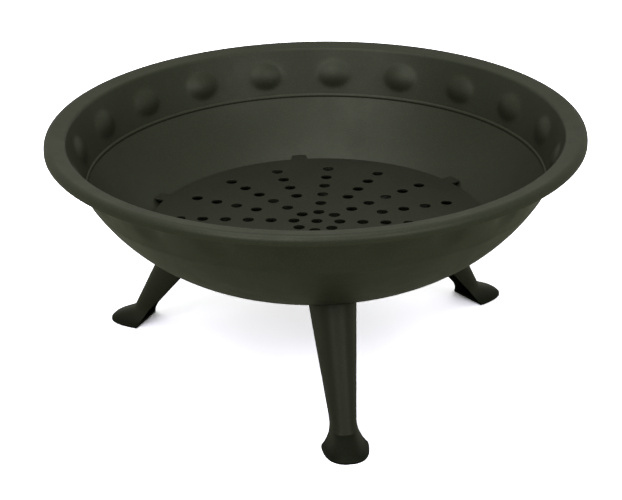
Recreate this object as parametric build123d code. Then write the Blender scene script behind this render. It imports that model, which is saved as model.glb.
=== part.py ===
from build123d import *
import math
import os

os.makedirs("parts", exist_ok=True)

# Garden brazier, in millimetres.
# The origin is on the ground under the middle of the bowl, +Z is up and the front leg points to -Y.
# A "depth" is measured down from the rim.

# Fire bowl: a pressed sheet with a flat bottom and a deep curved wall, with a small bead on its top edge
bowl_sheet = 1.5
rim_height = 275.6
wall_arc_radius = 216.0
bowl_depth = 157.5
seam_bead_radius = 2.8
seam_bead_inset = 2.0
seam_bead_lift = 0.5

# Rim band: a sloping band that carries on the bowl's wall above the bead, with a lip that rises to its
# rolled-down edge
rim_radius = 301.5
lip_width = 24.0
lip_rise = 3.4
lip_roll_radius = 7.0
lip_edge = 3.0
mouth_bend_radius = 4.0
band_depth = 55.0
band_lean_angle = 21.2

# Bosses: ovals pressed inward all round the band
boss_count = 20
boss_turn = 6.4
boss_depth = 29.5
boss_width = 39.0
boss_tallness = 31.0
boss_rise = 5.8

# Charcoal grate: a loose perforated plate that rests on the curved wall with its lugs
grate_radius = 190.0
grate_sheet = 2.0
grate_depth = 110.7
grate_turn = -0.6
grate_hole_diameter = 13.0
grate_hole_pitch = 26.1
spoke_count = 8
spoke_holes = 6
short_spoke_start = 3
lug_count = 6
lug_width = 18.0
lug_corner = 4.0
grate_seat_gap = 0.3

# Legs: pressed channels, rounded outward and open towards the middle, with a pad on top and a flared foot,
# each closed at the ground by a flat sole plate
leg_count = 3
first_leg_angle = -90.0
leg_sheet = 2.0
pad_inset = 125.8
pad_depth = 49.4
pad_half_width = 27.6
leg_spread = 93.0
ankle_height = 19.0
ankle_inset = 30.1
ankle_depth = 22.8
ankle_half_width = 13.8
foot_length = 42.8
foot_half_width = 25.4
toe_curl = 1.4
flare_height = 30.0
foot_flare = 2.6
foot_levels = 5
flare_levels = 3
sole_thickness = 2.5
channel_roundness = 2.5
channel_points = 8
paint_gap = 0.05

# Fasteners: bolts with their heads in the bowl, and a washer and nut on each in the leg's channel
inner_bolt_inset = 14.0
outer_bolt_inset = 15.5
bolt_diameter = 6.0
bolt_length = 16.0
bolt_head_across_flats = 10.0
bolt_head_height = 4.0
bolt_hole_clearance = 0.3
washer_diameter = 12.0
washer_thickness = 1.6
washer_clearance = 0.2
nut_across_flats = 10.0
nut_height = 5.0
thread_clearance = 0.05

# Worked out from the sizes above
inner_arc_radius = wall_arc_radius - bowl_sheet
arc_centre_height = rim_height - bowl_depth + wall_arc_radius
floor_height = rim_height - bowl_depth + bowl_sheet
mouth_radius = rim_radius - lip_width
lip_corner_height = rim_height + lip_rise
lip_slope = math.atan(lip_rise / lip_width)
lip_drop = lip_roll_radius * (1 / math.cos(lip_slope) + math.tan(lip_slope)) + lip_edge
band_lean = math.radians(band_lean_angle)
seam_height = rim_height - band_depth
seam_radius = mouth_radius - band_depth * math.tan(band_lean)
flat_bottom_radius = seam_radius - math.sqrt(inner_arc_radius ** 2 - (arc_centre_height - seam_height) ** 2)
pad_ridge_radius = rim_radius - pad_inset
pad_back_radius = pad_ridge_radius - pad_depth
toe_radius = pad_ridge_radius + leg_spread
heel_radius = toe_radius - foot_length
ankle_ridge_radius = toe_radius - ankle_inset
ankle_back_radius = ankle_ridge_radius - ankle_depth
bolt_radii = {
    "inner": pad_back_radius + inner_bolt_inset,
    "outer": pad_ridge_radius - outer_bolt_inset,
}
grate_height = rim_height - grate_depth - grate_sheet
bolt_hole_radius = bolt_diameter / 2 + bolt_hole_clearance
pad_face_radius = wall_arc_radius + paint_gap + leg_sheet
full_turn = 360.0
leg_names = ["front", "right", "left"]


def turned(shape, angle):
    """The shape turned about the upright axis of the brazier."""
    return Rot(0, 0, angle) * shape


def spun(sketch):
    """Solid of revolution of a sketch drawn in radius and height."""
    return revolve(Plane.XZ * sketch, Axis.Z)


def wall_radius(height, arc_radius):
    """Radius from the middle at which the curved wall, of the given arc radius, passes a height."""
    rise = arc_centre_height - height
    return flat_bottom_radius + math.sqrt(arc_radius ** 2 - rise ** 2)


def wall_height(radius):
    """Height at which the outside of the curved wall passes a radius from the middle."""
    return arc_centre_height - math.sqrt(wall_arc_radius ** 2 - (radius - flat_bottom_radius) ** 2)


def wall_lines():
    """Inner face of the bowl in section: flat bottom and curved wall, up to the seam."""
    wall_sweep = math.degrees(math.acos((arc_centre_height - seam_height) / inner_arc_radius))
    floor_line = Line((0, floor_height), (flat_bottom_radius, floor_height))
    wall_arc = CenterArc((flat_bottom_radius, arc_centre_height), inner_arc_radius, -90, wall_sweep)
    return floor_line.edges() + wall_arc.edges()


def sheet_section():
    """Section of bowl and band together, drawn along their inner face and thickened outward."""
    upper_line = FilletPolyline(
        (seam_radius, seam_height),
        (mouth_radius, rim_height),
        (rim_radius, lip_corner_height),
        (rim_radius, lip_corner_height - lip_drop),
        radius=[mouth_bend_radius, lip_roll_radius],
    )
    inner_face = Wire(wall_lines() + upper_line.edges())
    return Face(inner_face.offset_2d(bowl_sheet, side=Side.RIGHT, closed=True))


def between_heights(low, high):
    """Half of the upright plane between two heights, out past the rim."""
    far = rim_radius + bowl_sheet
    return make_face(Polyline((0, low), (far, low), (far, high), (0, high), close=True))


def rim_section():
    """Section of the rim band, from the seam up."""
    return sheet_section() & between_heights(seam_height, lip_corner_height)


def bowl_section():
    """Section of the fire bowl below the seam, with the bead that lies against the band's inner face."""
    band_line = Line((seam_radius, seam_height), (mouth_radius, rim_height))
    closing_lines = Polyline((mouth_radius, rim_height), (0, rim_height), (0, floor_height))
    inner_space = make_face(wall_lines() + band_line.edges() + closing_lines.edges())
    bead_centre = Pos(seam_radius + seam_bead_inset, seam_height + seam_bead_lift)
    bead = bead_centre * Circle(seam_bead_radius) & inner_space
    return (sheet_section() & between_heights(0, seam_height)) + bead


def inside_of_band():
    """Cone filling the band out to its outer face."""
    face_shift = bowl_sheet / math.cos(band_lean)
    return spun(make_face(Polyline(
        (0, seam_height),
        (seam_radius + face_shift, seam_height),
        (mouth_radius + face_shift, rim_height),
        (0, rim_height),
        close=True,
    )))


def boss_body(shrink):
    """Oval domed body, smaller all round by the shrink, buried in the band with its crown inward."""
    tall_radius = ((boss_tallness / 2) ** 2 + boss_rise ** 2) / (2 * boss_rise)
    band_sag = (boss_width / 2) ** 2 / (2 * mouth_radius)
    wide_rise = boss_rise - band_sag
    wide_radius = ((boss_width / 2) ** 2 + wide_rise ** 2) / (2 * wide_rise)
    crown_radius = tall_radius - shrink
    stem = wide_radius - tall_radius
    dome = CenterArc((stem, 0), crown_radius, -90, 180)
    sides = Polyline((stem, crown_radius), (0, crown_radius), (0, -crown_radius), (stem, -crown_radius))
    body = spun(make_face(dome.edges() + sides.edges()))
    band_radius = mouth_radius - boss_depth * math.tan(band_lean)
    on_band = Pos(band_radius, 0, rim_height - boss_depth) * Rot(0, math.degrees(band_lean), 0)
    return on_band * Pos(wide_radius - boss_rise, 0, 0) * body


def boss_angles():
    """Angles of the bosses round the band."""
    return [boss_turn + full_turn * number / boss_count for number in range(boss_count)]


def leg_angles():
    """Name and angle of each leg."""
    step = full_turn / leg_count
    return [(name, first_leg_angle + step * number) for number, name in enumerate(leg_names[:leg_count])]


def bolt_place(radius):
    """Place at the wall arc's centre whose Z axis runs out along a bolt at the given radius."""
    lean = math.degrees(math.asin((radius - flat_bottom_radius) / wall_arc_radius))
    return Pos(flat_bottom_radius, 0, arc_centre_height) * Rot(0, 180 - lean, 0)


def round_bar(place, radius, start, end):
    """Round bar along a bolt's axis between two distances from the wall arc's centre."""
    return place * Pos(0, 0, (start + end) / 2) * Cylinder(radius, end - start)


def hexagon_bar(place, across_flats, start, end):
    """Hexagonal bar along a bolt's axis between two distances from the wall arc's centre."""
    outline = RegularPolygon(across_flats / 2, 6, major_radius=False)
    return place * Pos(0, 0, start) * extrude(outline, end - start)


def bolt_holes():
    """Bars that cut the bolt holes of one leg, through the bowl and the leg's pad."""
    start = inner_arc_radius - bowl_sheet
    end = pad_face_radius + bowl_sheet
    return [round_bar(bolt_place(radius), bolt_hole_radius, start, end) for radius in bolt_radii.values()]


def make_fire_bowl():
    """Pressed bowl with the holes for the leg bolts."""
    bowl = spun(bowl_section())
    return bowl - [turned(bar, angle) for name, angle in leg_angles() for bar in bolt_holes()]


def make_rim_band():
    """Band and lip with the ring of bosses."""
    crown = boss_body(0) & inside_of_band()
    hollow = boss_body(bowl_sheet)
    band = spun(rim_section())
    band += [turned(crown, angle) for angle in boss_angles()]
    return band - [turned(hollow, angle) for angle in boss_angles()]


def make_charcoal_grate():
    """Round plate with lugs on its edge and holes in long and short spokes."""
    lug_reach = wall_radius(grate_height, inner_arc_radius - grate_seat_gap)
    lug_step = full_turn / lug_count
    lug_length = lug_reach - grate_radius / 2
    lug = Pos(lug_reach - lug_length / 2, 0) * RectangleRounded(lug_length, lug_width, lug_corner)
    outline = Circle(grate_radius)
    outline += [Rot(0, 0, lug_step * (number + 0.5)) * lug for number in range(lug_count)]
    outline &= Circle(lug_reach)
    spoke_step = full_turn / spoke_count
    holes = [(0, 0)]
    for spoke in range(spoke_count):
        long_angle = spoke_step * (spoke - 0.25)
        holes += [(ring, long_angle) for ring in range(1, spoke_holes + 1)]
        short_angle = long_angle + spoke_step / 2
        holes += [(ring, short_angle) for ring in range(short_spoke_start, spoke_holes + 1)]
    hole = Circle(grate_hole_diameter / 2)
    outline -= [Rot(0, 0, angle) * Pos(ring * grate_hole_pitch, 0) * hole for ring, angle in holes]
    return turned(Pos(0, 0, grate_height) * extrude(outline, grate_sheet), grate_turn)


def channel_outline(height, back, ridge, half_width, open_by):
    """Level section of a leg: rounded out to its ridge, straight across its back, which opens may extend."""
    power = 2 / channel_roundness
    depth = ridge - back
    quarter = [math.pi / 2 * number / channel_points for number in range(channel_points + 1)]
    side = [(back + depth * math.sin(a) ** power, half_width * math.cos(a) ** power) for a in quarter[:-1]]
    points = side + [(ridge, 0)] + [(x, -y) for x, y in reversed(side)]
    rounded = Spline(*points, tangents=[(1, 0), (-1, 0)])
    start = back - open_by
    if open_by:
        straight = Polyline((back, -half_width), (start, -half_width), (start, half_width), (back, half_width))
    else:
        straight = Line((back, -half_width), (back, half_width))
    return Pos(0, 0, height) * make_face(rounded.edges() + straight.edges())


def from_ankle(height, ankle_value, pad_radius, pad_value):
    """Value on the straight line from the ankle to where the leg meets the wall at the given radius."""
    share = (height - ankle_height) / (wall_height(pad_radius) - ankle_height)
    return ankle_value + (pad_value - ankle_value) * share


def leg_half_width(height):
    """Half width of the leg, which narrows to the ankle and then spreads in a smooth curve to the sole."""
    straight = from_ankle(height, ankle_half_width, pad_ridge_radius, pad_half_width)
    spread = foot_half_width - from_ankle(sole_thickness, ankle_half_width, pad_ridge_radius, pad_half_width)
    fall = max(flare_height - height, 0) / (flare_height - sole_thickness)
    return straight + spread * fall ** foot_flare


def shank_sizes(height):
    """Back radius, ridge radius and half width of the leg above the ankle."""
    back = from_ankle(height, ankle_back_radius, pad_back_radius, pad_back_radius)
    ridge = from_ankle(height, ankle_ridge_radius, pad_ridge_radius, pad_ridge_radius)
    return back, ridge, leg_half_width(height)


def foot_sizes(height):
    """Back radius, ridge radius and half width of the foot, from the ankle down to the sole."""
    fall = (ankle_height - height) / (ankle_height - sole_thickness)
    back = ankle_back_radius + (heel_radius - ankle_back_radius) * fall
    ridge = toe_radius - (toe_radius - ankle_ridge_radius) * (1 - fall) ** toe_curl
    return back, ridge, leg_half_width(height)


def thinned(sizes, height, open_by):
    """Section inside the sheet: each face moves in by the sheet's thickness, measured square to it."""
    step = 0.01 * ankle_height
    low = max(height - step, sole_thickness)
    slopes = [(b - a) / step for a, b in zip(sizes(low), sizes(low + step))]
    back, ridge, half_width = sizes(height)
    ridge -= leg_sheet * math.hypot(1, slopes[1])
    half_width -= leg_sheet * math.hypot(1, slopes[2])
    return channel_outline(height, back, ridge, half_width, open_by)


def levels(low, high, count):
    """Evenly spaced heights from low to high."""
    return [low + (high - low) * number / count for number in range(count + 1)]


def make_leg():
    """Pressed leg along +X: a tapering channel with a flared foot and a pad that follows the bowl."""
    top = arc_centre_height - wall_arc_radius / 2
    foot_heights = levels(sole_thickness, ankle_height, foot_levels)
    flare_heights = levels(ankle_height, flare_height, flare_levels)
    whole = loft([channel_outline(h, *foot_sizes(h), 0) for h in foot_heights])
    whole += loft([channel_outline(h, *shank_sizes(h), 0) for h in flare_heights])
    whole += loft([channel_outline(h, *shank_sizes(h), 0) for h in (flare_height, top)], ruled=True)
    open_by = heel_radius - ankle_back_radius + leg_sheet
    foot_room = [thinned(foot_sizes, h, open_by) for h in foot_heights[:-1]]
    flare_room = [thinned(shank_sizes, h, open_by) for h in flare_heights]
    leg = whole - loft(foot_room + flare_room[:1]) - loft(flare_room)
    leg -= loft([thinned(shank_sizes, h, open_by) for h in (flare_height, top)], ruled=True)
    bowl_space = filled_bowl(paint_gap)
    pad = (whole & filled_bowl(paint_gap + leg_sheet)) - bowl_space
    leg = leg - bowl_space + pad
    return leg - bolt_holes()


def make_sole():
    """Flat plate along +X that closes the foot and rests on the ground."""
    return extrude(channel_outline(0, *foot_sizes(sole_thickness), 0), sole_thickness)


def filled_bowl(gap):
    """The bowl's curved outside grown by a gap and filled up to its arc's centre."""
    radius = wall_arc_radius + gap
    lowest = arc_centre_height - radius
    widest = flat_bottom_radius + radius
    arc = CenterArc((flat_bottom_radius, arc_centre_height), radius, -90, 90)
    sides = Polyline(
        (widest, arc_centre_height), (0, arc_centre_height), (0, lowest), (flat_bottom_radius, lowest)
    )
    return spun(make_face(arc.edges() + sides.edges()))


def make_bolt(place):
    """Hexagon bolt with its head on the bowl's hollow inner face."""
    corner = bolt_head_across_flats / math.sqrt(3)
    hollow = corner ** 2 / (2 * inner_arc_radius)
    seat = inner_arc_radius - hollow - paint_gap
    head = hexagon_bar(place, bolt_head_across_flats, seat - bolt_head_height, seat)
    return head + round_bar(place, bolt_diameter / 2, seat, seat + bolt_length)


def make_washer(place):
    """Flat washer under the nut, on the outer face of the leg's pad."""
    start = pad_face_radius + paint_gap
    disc = round_bar(place, washer_diameter / 2, start, start + washer_thickness)
    hole_radius = bolt_diameter / 2 + washer_clearance
    return disc - round_bar(place, hole_radius, start, start + washer_thickness)


def make_nut(place):
    """Hexagon nut on the washer."""
    start = pad_face_radius + 2 * paint_gap + washer_thickness
    body = hexagon_bar(place, nut_across_flats, start, start + nut_height)
    bore_radius = bolt_diameter / 2 + thread_clearance
    return body - round_bar(place, bore_radius, start, start + nut_height)


export_step(make_fire_bowl(), "parts/fire_bowl.step")
export_step(make_rim_band(), "parts/rim_band.step")
export_step(make_charcoal_grate(), "parts/charcoal_grate.step")
leg = make_leg()
sole = make_sole()
for leg_name, leg_angle in leg_angles():
    export_step(turned(leg, leg_angle), f"parts/{leg_name}_leg.step")
    export_step(turned(sole, leg_angle), f"parts/{leg_name}_leg_sole.step")
    for bolt_name, bolt_radius in bolt_radii.items():
        place = bolt_place(bolt_radius)
        for piece, make in (("bolt", make_bolt), ("washer", make_washer), ("nut", make_nut)):
            export_step(turned(make(place), leg_angle), f"parts/{leg_name}_leg_{bolt_name}_{piece}.step")
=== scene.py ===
import math

import bmesh
import bpy
from mathutils import Matrix, Vector


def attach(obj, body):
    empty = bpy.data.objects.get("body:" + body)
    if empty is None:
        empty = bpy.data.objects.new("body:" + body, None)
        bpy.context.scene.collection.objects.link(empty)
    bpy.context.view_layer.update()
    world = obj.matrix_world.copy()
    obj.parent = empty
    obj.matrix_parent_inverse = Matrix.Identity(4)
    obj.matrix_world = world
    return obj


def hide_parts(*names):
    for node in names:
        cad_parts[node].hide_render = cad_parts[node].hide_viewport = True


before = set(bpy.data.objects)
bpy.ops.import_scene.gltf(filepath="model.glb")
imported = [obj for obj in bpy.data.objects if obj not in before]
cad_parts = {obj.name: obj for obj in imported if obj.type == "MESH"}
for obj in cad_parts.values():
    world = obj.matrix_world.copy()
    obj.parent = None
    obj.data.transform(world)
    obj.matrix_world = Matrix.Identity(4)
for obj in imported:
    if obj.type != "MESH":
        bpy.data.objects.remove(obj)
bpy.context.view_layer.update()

MM = 0.001

# Heat-resistant paint. A noise is a scale, a detail and a roughness. A ramp is two inputs and their two outputs.
# A bump is a strength and a height in metres. A bevel is a radius in metres and a number of samples.
OLIVE_SHEEN = (0.97, 1.0, 0.84, 1.0)
CLOUDS = (9.0, 4.0, 0.6)
SPECKLES = (900.0, 2.0, 0.5)
PATCHES = (26.0, 5.0, 0.65)
PEEL = (700.0, 3.0, 0.6)
CLOUD_RAMP = (0.35, 0.65, 0.0, 1.0)
SPECKLE_RAMP = (0.52, 0.72, 0.0, 0.30)
# Edges lightened towards the lighter tone: wear and painted highlight
RUBBED_AND_HIGHLIT_RAMP = (0.985, 0.90, 0.0, 0.35)
PATCH_RANGE = (0.3, 0.7)
PEEL_BUMP = (0.18, 0.0003)
WAVE_BUMP = (0.12, 0.002)
PAINT_BEVEL = (0.0009, 6)
# Share of the paint's gloss left at the ground, where it is cut down as painted shade
FOOT_SHADE_SHARE = 0.3

# Screen tones of each paint (dark, light, and a lighter tone for speckles and for edges, where it is wear and
# painted highlight), then its specular level, lowest and highest roughness, and the height in metres below
# which its gloss is cut down as painted shade near the ground
PAINTS = {
    "bowl_paint": ((26, 29, 20), (31, 34, 25), (70, 72, 58), 0.45, 0.41, 0.52, 0.0),
    "grate_paint": ((24, 26, 19), (29, 31, 24), (60, 62, 50), 0.40, 0.46, 0.58, 0.0),
    # The legs' paint is a darker, less glossy copy of the bowl's, as painted shade on the legs
    "leg_paint": ((18, 21, 14), (24, 27, 19), (52, 54, 44), 0.34, 0.42, 0.52, 0.016),
}

# Sooty steel of the fasteners
STEEL_DARK = (0.020, 0.020, 0.018, 1.0)
STEEL_LIGHT = (0.050, 0.050, 0.046, 1.0)
STEEL_METALLIC = 0.7
STEEL_CLOUDS = (180.0, 4.0, 0.6)
STEEL_PATCHES = (300.0, 5.0, 0.7)
STEEL_SCRATCHES = (900.0, 3.0, 0.6)
STEEL_ROUGHNESS = (0.3, 0.7, 0.42, 0.62)
SCRATCH_BUMP = (0.3, 0.0002)
STEEL_BEVEL = (0.0005, 4)

# Floor and surround. The floor is white to the camera, bright enough that only its deepest shadow shows, and
# grey to the object's own surfaces.
FLOOR_HALF = 4.0
FLOOR_WHITE = (3.6, 3.53, 4.19, 1.0)
FLOOR_GREY = (0.52, 0.53, 0.43, 1.0)
SURROUND_GREY = (0.50, 0.51, 0.43, 1.0)

# Soft lights: place and size in metres, power in watts
LIGHTS = {
    "key": ((-0.95, -1.55, 1.85), 1.4, 18),
    "fill": ((0.95, -1.6, 1.4), 0.9, 8),
    "top": ((-0.2, 0.1, 2.5), 1.6, 15),
}
LIGHT_TARGET = (0, 0, 0.2)

# Camera, a little left of the front leg, with places in metres and its focal length in pixels of the photo
PHOTO_WIDTH = 622
SENSOR_WIDTH = 36.0
FOCAL_PIXELS = 2221.1
CAMERA_DISTANCE = 2.3076
CAMERA_HEIGHT = 1.1675
CAMERA_TURN = math.radians(-6.44)
CAMERA_YAW = math.radians(-0.181)
CAMERA_PITCH = math.radians(24.232)
CAMERA_ROLL = math.radians(1.116)

# Bowl and band sizes in millimetres: those of the pressed sheets in the frame, but with the rim 0.1 mm
# further in and with lower, softer bosses
RIM_HEIGHT = 275.6
RIM_RADIUS = 301.4
MOUTH_RADIUS = 277.5
SHEET = 1.5
LIP_RISE = 3.4
LIP_ROLL_RADIUS = 7.0
LIP_EDGE = 3.0
MOUTH_BEND_RADIUS = 4.0
BAND_DEPTH = 55.0
BAND_LEAN = math.radians(21.2)
SEAM_BEAD_RADIUS = 2.8
SEAM_BEAD_INSET = 2.0
SEAM_BEAD_LIFT = 0.5
WALL_ARC_RADIUS = 216.0
BOWL_DEPTH = 157.5
BOSS_COUNT = 20
BOSS_TURN = 6.4
BOSS_DEPTH = 29.5
BOSS_WIDTH = 39.0
BOSS_TALLNESS = 31.0
BOSS_RISE = 4.0
BOSS_FOOT_SOFTNESS = 1.5
HOLLOW_RISE = 3.4
HOLLOW_FOOT_SOFTNESS = 2.4
BOSS_FADE = 4.0
BOSS_FADE_START = 1.0
ROUND_STEPS = 960
LONG_STEP = 6.0
BAND_STEP = 1.2
CORNER_STEPS = 4
CAP_EDGE = 0.999
BEAD_GAP_BELOW = 0.5
BEAD_GAP_ABOVE = 0.3
AXIS_LIMIT = 1e-6
SHARP_ANGLE = math.radians(42)

# Worked out from the sizes above
INNER_ARC_RADIUS = WALL_ARC_RADIUS - SHEET
ARC_CENTRE_HEIGHT = RIM_HEIGHT - BOWL_DEPTH + WALL_ARC_RADIUS
LIP_CORNER_HEIGHT = RIM_HEIGHT + LIP_RISE
LIP_SLOPE = math.atan(LIP_RISE / (RIM_RADIUS - MOUTH_RADIUS))
LIP_DROP = LIP_ROLL_RADIUS * (1 / math.cos(LIP_SLOPE) + math.tan(LIP_SLOPE)) + LIP_EDGE
SEAM_HEIGHT = RIM_HEIGHT - BAND_DEPTH
SEAM_RADIUS = MOUTH_RADIUS - BAND_DEPTH * math.tan(BAND_LEAN)
SEAM_DROP = ARC_CENTRE_HEIGHT - SEAM_HEIGHT
FLAT_BOTTOM_RADIUS = SEAM_RADIUS - math.sqrt(INNER_ARC_RADIUS ** 2 - SEAM_DROP ** 2)


def linear(value):
    """Linear value of an 8-bit screen tone."""
    tone = value / 255
    return tone / 12.92 if tone <= 0.04045 else ((tone + 0.055) / 1.055) ** 2.4


def screen_colour(red, green, blue):
    """Linear colour with full alpha from 8-bit screen tones."""
    return linear(red), linear(green), linear(blue), 1.0


class Nodes:
    """Short calls that add and link the nodes of one material."""

    def __init__(self, name):
        self.material = bpy.data.materials.new(name)
        self.material.use_nodes = True
        self.tree = self.material.node_tree
        self.tree.nodes.clear()

    def add(self, kind, **settings):
        node = self.tree.nodes.new(kind)
        for key, value in settings.items():
            setattr(node, key, value)
        return node

    def link(self, source, target):
        self.tree.links.new(source, target)

    def noise(self, scale, detail, roughness):
        place = self.add("ShaderNodeTexCoord")
        node = self.add("ShaderNodeTexNoise")
        node.inputs["Scale"].default_value = scale
        node.inputs["Detail"].default_value = detail
        node.inputs["Roughness"].default_value = roughness
        self.link(place.outputs["Object"], node.inputs["Vector"])
        return node.outputs["Fac"]

    def ramp(self, value, low, high, low_value, high_value):
        node = self.add("ShaderNodeMapRange")
        node.inputs["From Min"].default_value = low
        node.inputs["From Max"].default_value = high
        node.inputs["To Min"].default_value = low_value
        node.inputs["To Max"].default_value = high_value
        self.link(value, node.inputs["Value"])
        return node.outputs["Result"]

    def mix(self, factor, first, second):
        node = self.add("ShaderNodeMix", data_type="RGBA")
        self.link(factor, node.inputs["Factor"])
        for value, socket in ((first, node.inputs[6]), (second, node.inputs[7])):
            if isinstance(value, tuple):
                socket.default_value = value
            else:
                self.link(value, socket)
        return node.outputs[2]

    def bevel(self, radius, samples):
        node = self.add("ShaderNodeBevel", samples=samples)
        node.inputs["Radius"].default_value = radius
        return node.outputs["Normal"]

    def bump(self, height, strength, distance, under):
        node = self.add("ShaderNodeBump")
        node.inputs["Strength"].default_value = strength
        node.inputs["Distance"].default_value = distance
        self.link(height, node.inputs["Height"])
        self.link(under, node.inputs["Normal"])
        return node.outputs["Normal"]

    def finish(self, shader):
        output = self.add("ShaderNodeOutputMaterial")
        self.link(shader, output.inputs["Surface"])
        return self.material


def heat_paint(name):
    """Semi-gloss heat-resistant paint: cloudy tone, faint speckle, orange peel, soft edges, and lighter edges
    that are partly wear and partly a painted highlight.

    Below the given height, near the ground, the paint's gloss is cut down as painted shade by the floor.
    """
    dark, light, worn_and_highlit, specular, rough_low, rough_high, foot_shade_height = PAINTS[name]
    worn_and_highlit = screen_colour(*worn_and_highlit)
    n = Nodes(name)
    clouds = n.noise(*CLOUDS)
    speckles = n.noise(*SPECKLES)
    colour = n.mix(n.ramp(clouds, *CLOUD_RAMP), screen_colour(*dark), screen_colour(*light))
    colour = n.mix(n.ramp(speckles, *SPECKLE_RAMP), colour, worn_and_highlit)
    edge = n.bevel(*PAINT_BEVEL)
    geometry = n.add("ShaderNodeNewGeometry")
    facing = n.add("ShaderNodeVectorMath", operation="DOT_PRODUCT")
    n.link(edge, facing.inputs[0])
    n.link(geometry.outputs["Normal"], facing.inputs[1])
    # Edges take the lighter tone, partly as wear and partly as a painted highlight
    rubbed_and_highlit = n.ramp(facing.outputs["Value"], *RUBBED_AND_HIGHLIT_RAMP)
    shader = n.add("ShaderNodeBsdfPrincipled")
    n.link(n.mix(rubbed_and_highlit, colour, worn_and_highlit), shader.inputs["Base Color"])
    shader.inputs["Specular IOR Level"].default_value = specular
    shader.inputs["Specular Tint"].default_value = OLIVE_SHEEN
    # Gloss cut down towards the ground: painted shade by the floor
    if foot_shade_height:
        place = n.add("ShaderNodeTexCoord")
        axes = n.add("ShaderNodeSeparateXYZ")
        n.link(place.outputs["Object"], axes.inputs["Vector"])
        low = foot_shade_height * FOOT_SHADE_SHARE
        gloss = n.ramp(axes.outputs["Z"], low, foot_shade_height, specular * FOOT_SHADE_SHARE, specular)
        n.link(gloss, shader.inputs["Specular IOR Level"])
    roughness = n.ramp(n.noise(*PATCHES), *PATCH_RANGE, rough_low, rough_high)
    n.link(roughness, shader.inputs["Roughness"])
    peel = n.bump(n.noise(*PEEL), *PEEL_BUMP, edge)
    n.link(n.bump(clouds, *WAVE_BUMP, peel), shader.inputs["Normal"])
    return n.finish(shader.outputs["BSDF"])


def sooty_steel(name):
    """Plated steel darkened by heat and soot, with a cloudy tone and fine scratches."""
    n = Nodes(name)
    shader = n.add("ShaderNodeBsdfPrincipled")
    shader.inputs["Metallic"].default_value = STEEL_METALLIC
    n.link(n.mix(n.noise(*STEEL_CLOUDS), STEEL_DARK, STEEL_LIGHT), shader.inputs["Base Color"])
    n.link(n.ramp(n.noise(*STEEL_PATCHES), *STEEL_ROUGHNESS), shader.inputs["Roughness"])
    scratches = n.bump(n.noise(*STEEL_SCRATCHES), *SCRATCH_BUMP, n.bevel(*STEEL_BEVEL))
    n.link(scratches, shader.inputs["Normal"])
    return n.finish(shader.outputs["BSDF"])


def pale_floor(name):
    """Pale floor that keeps the shadow: white to the camera and a plain grey to the object's own surfaces."""
    n = Nodes(name)
    rays = n.add("ShaderNodeLightPath")
    seen = n.add("ShaderNodeBsdfDiffuse")
    seen.inputs["Color"].default_value = FLOOR_WHITE
    lit = n.add("ShaderNodeBsdfDiffuse")
    lit.inputs["Color"].default_value = FLOOR_GREY
    choice = n.add("ShaderNodeMixShader")
    n.link(rays.outputs["Is Camera Ray"], choice.inputs["Fac"])
    n.link(lit.outputs["BSDF"], choice.inputs[1])
    n.link(seen.outputs["BSDF"], choice.inputs[2])
    return n.finish(choice.outputs["Shader"])


def new_object(name, mesh, material):
    """Adds a smooth-shaded mesh object with one material."""
    thing = bpy.data.objects.new(name, mesh)
    bpy.context.scene.collection.objects.link(thing)
    mesh.materials.append(material)
    for face in mesh.polygons:
        face.use_smooth = True
    return thing


def rounded_line(corners, radii, longest):
    """Points along a line whose inner corners are rounded, no further apart than the longest step."""
    points = [Vector(corners[0])]
    for before, corner, after, radius in zip(corners, corners[1:], corners[2:], radii):
        corner = Vector(corner)
        back = (Vector(before) - corner).normalized()
        ahead = (Vector(after) - corner).normalized()
        half = math.acos(max(-1.0, min(1.0, back.dot(ahead)))) / 2
        reach = radius / math.tan(half)
        centre = corner + (back + ahead).normalized() * radius / math.sin(half)
        start = corner + back * reach - centre
        end = corner + ahead * reach - centre
        turn = start.angle_signed(end)
        count = max(CORNER_STEPS, math.ceil(abs(turn) * radius / longest))
        for number in range(count + 1):
            points.append(centre + Matrix.Rotation(-turn * number / count, 2) @ start)
    points.append(Vector(corners[-1]))
    dense = [points[0]]
    for point in points[1:]:
        gap = point - dense[-1]
        steps = max(1, math.ceil(gap.length / longest))
        start = dense[-1]
        dense += [start + gap * (number + 1) / steps for number in range(steps)]
    return dense


def arc_line(centre, radius, start, end, longest):
    """Points along an arc between two angles, no further apart than the longest step."""
    count = max(2, math.ceil(abs(end - start) * radius / longest))
    angles = [start + (end - start) * number / count for number in range(count + 1)]
    return [Vector((centre[0] + radius * math.cos(a), centre[1] + radius * math.sin(a))) for a in angles]


def bead_arc():
    """Inner face of the bead, from the curved wall up to the sloping band."""
    centre = Vector((FLAT_BOTTOM_RADIUS, ARC_CENTRE_HEIGHT))
    bead = Vector((SEAM_RADIUS + SEAM_BEAD_INSET, SEAM_HEIGHT + SEAM_BEAD_LIFT))
    apart = bead - centre
    along = (INNER_ARC_RADIUS ** 2 - SEAM_BEAD_RADIUS ** 2 + apart.length_squared) / (2 * apart.length)
    aside = math.sqrt(INNER_ARC_RADIUS ** 2 - along ** 2)
    ahead = apart.normalized()
    low_meeting = centre + ahead * along + Vector((ahead.y, -ahead.x)) * aside
    seam = Vector((SEAM_RADIUS, SEAM_HEIGHT))
    up_band = Vector((math.sin(BAND_LEAN), math.cos(BAND_LEAN)))
    from_bead = seam - bead
    reach = from_bead.dot(up_band)
    rise = math.sqrt(reach ** 2 - from_bead.length_squared + SEAM_BEAD_RADIUS ** 2) - reach
    high_meeting = seam + up_band * rise
    start = math.atan2(low_meeting.y - bead.y, low_meeting.x - bead.x) % (2 * math.pi)
    end = math.atan2(high_meeting.y - bead.y, high_meeting.x - bead.x) % (2 * math.pi)
    return arc_line(bead, SEAM_BEAD_RADIUS, start, end, SEAM_BEAD_RADIUS / 4)


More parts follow.
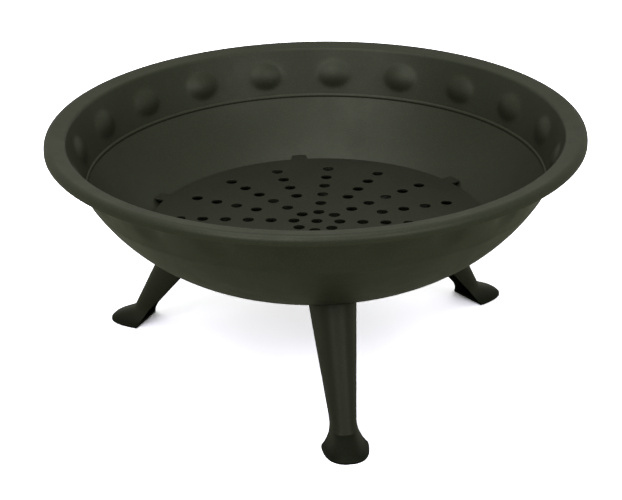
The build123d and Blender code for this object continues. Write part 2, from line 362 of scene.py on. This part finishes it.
def wall_arc(radius, top):
    """Curved wall of the given arc radius, from its lowest place up to a height."""
    end = -math.asin((ARC_CENTRE_HEIGHT - top) / radius)
    return arc_line((FLAT_BOTTOM_RADIUS, ARC_CENTRE_HEIGHT), radius, -math.pi / 2, end, LONG_STEP)


def band_profile():
    """Inner face of the rim band from the seam to the lip's edge."""
    return rounded_line(
        [
            (SEAM_RADIUS, SEAM_HEIGHT),
            (MOUTH_RADIUS, RIM_HEIGHT),
            (RIM_RADIUS, LIP_CORNER_HEIGHT),
            (RIM_RADIUS, LIP_CORNER_HEIGHT - LIP_DROP),
        ],
        [MOUTH_BEND_RADIUS, LIP_ROLL_RADIUS],
        BAND_STEP,
    )


def profile_normals(points):
    """Unit normals of a profile that point to the outer side of the sheet."""
    normals = []
    for number, point in enumerate(points):
        before = points[max(number - 1, 0)]
        after = points[min(number + 1, len(points) - 1)]
        along = (after - before).normalized()
        normals.append(Vector((along.y, -along.x)))
    return normals


def boss_rise(angle, depth, rise, softness):
    """Height of the nearest boss at a place on the band: a spherical cap with a soft foot."""
    step = 2 * math.pi / BOSS_COUNT
    offset = (angle - math.radians(BOSS_TURN) + step / 2) % step - step / 2
    across = offset * (MOUTH_RADIUS - depth * math.tan(BAND_LEAN)) / (BOSS_WIDTH / 2)
    along = (depth - BOSS_DEPTH) / math.cos(BAND_LEAN) / (BOSS_TALLNESS / 2)
    half = BOSS_TALLNESS / 2
    cap_radius = (half ** 2 + rise ** 2) / (2 * rise)
    away = min(math.hypot(across, along) * half, cap_radius * CAP_EDGE)
    cap = math.sqrt(cap_radius ** 2 - away ** 2) - (cap_radius - rise)
    return (cap + math.hypot(cap, softness)) / 2


def round_skin(name, rows, material):
    """Smooth mesh from rows of radius and height round the axis. Each row gives its place at an angle."""
    skin = bmesh.new()
    rings = []
    for row in rows:
        radius, height = row(0.0)
        if radius < AXIS_LIMIT:
            rings.append([skin.verts.new((0, 0, height * MM))])
            continue
        ring = []
        for number in range(ROUND_STEPS):
            angle = 2 * math.pi * number / ROUND_STEPS
            radius, height = row(angle)
            place = (radius * MM * math.cos(angle), radius * MM * math.sin(angle), height * MM)
            ring.append(skin.verts.new(place))
        rings.append(ring)
    for low, high in zip(rings, rings[1:]):
        for number in range(ROUND_STEPS):
            following = (number + 1) % ROUND_STEPS
            if len(low) == 1:
                skin.faces.new((low[0], high[number], high[following]))
            elif len(high) == 1:
                skin.faces.new((low[number], high[0], low[following]))
            else:
                skin.faces.new((low[number], high[number], high[following], low[following]))
    bmesh.ops.recalc_face_normals(skin, faces=skin.faces)
    mesh = bpy.data.meshes.new(name)
    skin.to_mesh(mesh)
    skin.free()
    thing = new_object(name, mesh, material)
    mesh.set_sharp_from_angle(angle=SHARP_ANGLE)
    return thing


def band_row(point, normal, shift, rise, softness):
    """Row of the band's skin: a place on its inner face moved out by the shift and in by the bosses."""
    low = SEAM_HEIGHT + BOSS_FADE_START
    high = RIM_HEIGHT - BOSS_FADE
    fade = max(0.0, min(1.0, (point.y - low) / BOSS_FADE, (high - point.y) / BOSS_FADE))
    if point.x > MOUTH_RADIUS:
        fade = 0.0

    def place(angle):
        out = shift
        if fade:
            out -= boss_rise(angle, RIM_HEIGHT - point.y, rise, softness) * fade
        return point.x + normal.x * out, point.y + normal.y * out

    return place


def plain_row(point):
    """Row that is the same all round."""
    return lambda angle: (point.x, point.y)


def build_sheets(material):
    """Bowl and rim band as one closed skin: up the inner face, over the lip and down the outer face."""
    bead = bead_arc()
    top_of_wall = bead[0].y - BEAD_GAP_BELOW
    inner_wall = [point for point in wall_arc(INNER_ARC_RADIUS, SEAM_HEIGHT) if point.y < top_of_wall]
    band = band_profile()
    pairs = list(zip(band, profile_normals(band)))
    above_bead = [pair for pair in pairs if pair[0].y > bead[-1].y + BEAD_GAP_ABOVE]
    outer_wall = wall_arc(WALL_ARC_RADIUS, SEAM_HEIGHT)
    rows = [plain_row(Vector((0, inner_wall[0].y)))]
    rows += [plain_row(point) for point in inner_wall + bead]
    rows += [band_row(point, normal, 0.0, BOSS_RISE, BOSS_FOOT_SOFTNESS) for point, normal in above_bead]
    rows += [
        band_row(point, normal, SHEET, HOLLOW_RISE, HOLLOW_FOOT_SOFTNESS)
        for point, normal in reversed(pairs[1:])
    ]
    rows += [plain_row(point) for point in reversed(outer_wall)]
    rows += [plain_row(Vector((0, outer_wall[0].y)))]
    return round_skin("bowl_skin", rows, material)


def build_camera():
    """Camera at the photograph's place, angle and length."""
    heading = CAMERA_YAW - CAMERA_TURN
    level = math.cos(CAMERA_PITCH)
    ahead = Vector((math.sin(heading) * level, math.cos(heading) * level, -math.sin(CAMERA_PITCH)))
    right = Vector((math.cos(heading), -math.sin(heading), 0))
    down = ahead.cross(right)
    rolled_right = math.cos(CAMERA_ROLL) * right + math.sin(CAMERA_ROLL) * down
    rolled_down = math.cos(CAMERA_ROLL) * down - math.sin(CAMERA_ROLL) * right
    data = bpy.data.cameras.new("camera")
    data.sensor_width = SENSOR_WIDTH
    data.lens = FOCAL_PIXELS * SENSOR_WIDTH / PHOTO_WIDTH
    camera = bpy.data.objects.new("camera", data)
    bpy.context.scene.collection.objects.link(camera)
    axes = Matrix((rolled_right, -rolled_down, -ahead)).transposed()
    out = Vector((math.sin(CAMERA_TURN), -math.cos(CAMERA_TURN), 0)) * CAMERA_DISTANCE
    camera.matrix_world = Matrix.Translation(out + Vector((0, 0, CAMERA_HEIGHT))) @ axes.to_4x4()
    bpy.context.scene.camera = camera


def soft_light(name, place, size, power):
    """Square soft light that points from its place to the target."""
    data = bpy.data.lights.new(name, "AREA")
    data.shape = "SQUARE"
    data.size = size
    data.energy = power
    light = bpy.data.objects.new(name, data)
    bpy.context.scene.collection.objects.link(light)
    light.location = place
    light.rotation_euler = (Vector(LIGHT_TARGET) - Vector(place)).to_track_quat("-Z", "Y").to_euler()


def build_world():
    """Even grey surround that lights the object and that the camera sees as white."""
    world = bpy.data.worlds.new("surround")
    bpy.context.scene.world = world
    world.use_nodes = True
    tree = world.node_tree
    tree.nodes.clear()
    rays = tree.nodes.new("ShaderNodeLightPath")
    white = tree.nodes.new("ShaderNodeBackground")
    white.inputs["Color"].default_value = (1.0, 1.0, 1.0, 1.0)
    grey = tree.nodes.new("ShaderNodeBackground")
    grey.inputs["Color"].default_value = SURROUND_GREY
    choice = tree.nodes.new("ShaderNodeMixShader")
    output = tree.nodes.new("ShaderNodeOutputWorld")
    link = tree.links.new
    link(rays.outputs["Is Camera Ray"], choice.inputs["Fac"])
    link(grey.outputs["Background"], choice.inputs[1])
    link(white.outputs["Background"], choice.inputs[2])
    link(choice.outputs["Shader"], output.inputs["Surface"])


def build_floor():
    """Plain pale floor under the feet."""
    mesh = bpy.data.meshes.new("floor")
    corners = [(x * FLOOR_HALF, y * FLOOR_HALF, 0) for x, y in ((-1, -1), (1, -1), (1, 1), (-1, 1))]
    mesh.from_pydata(corners, [], [(0, 1, 2, 3)])
    floor = bpy.data.objects.new("floor", mesh)
    bpy.context.scene.collection.objects.link(floor)
    mesh.materials.append(pale_floor("floor_white"))


def dress(node, material):
    """Gives a piece carried over from the frame its material."""
    slots = node.material_slots
    if slots:
        for slot in slots:
            slot.material = material
    else:
        node.data.materials.append(material)


bowl_paint, grate_paint, leg_paint = [heat_paint(name) for name in PAINTS]
steel = sooty_steel("fastener_steel")

for name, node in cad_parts.items():
    if name.endswith(("bolt", "washer", "nut")):
        dress(node, steel)
    elif name.endswith(("leg", "sole")):
        dress(node, leg_paint)
    else:
        dress(node, grate_paint)

skin = build_sheets(bowl_paint)
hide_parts("fire_bowl", "rim_band")
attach(skin, "brazier")

build_world()
build_floor()
for name, (place, size, power) in LIGHTS.items():
    soft_light(name, place, size, power)
build_camera()

scene = bpy.context.scene
scene.view_settings.view_transform = "Standard"
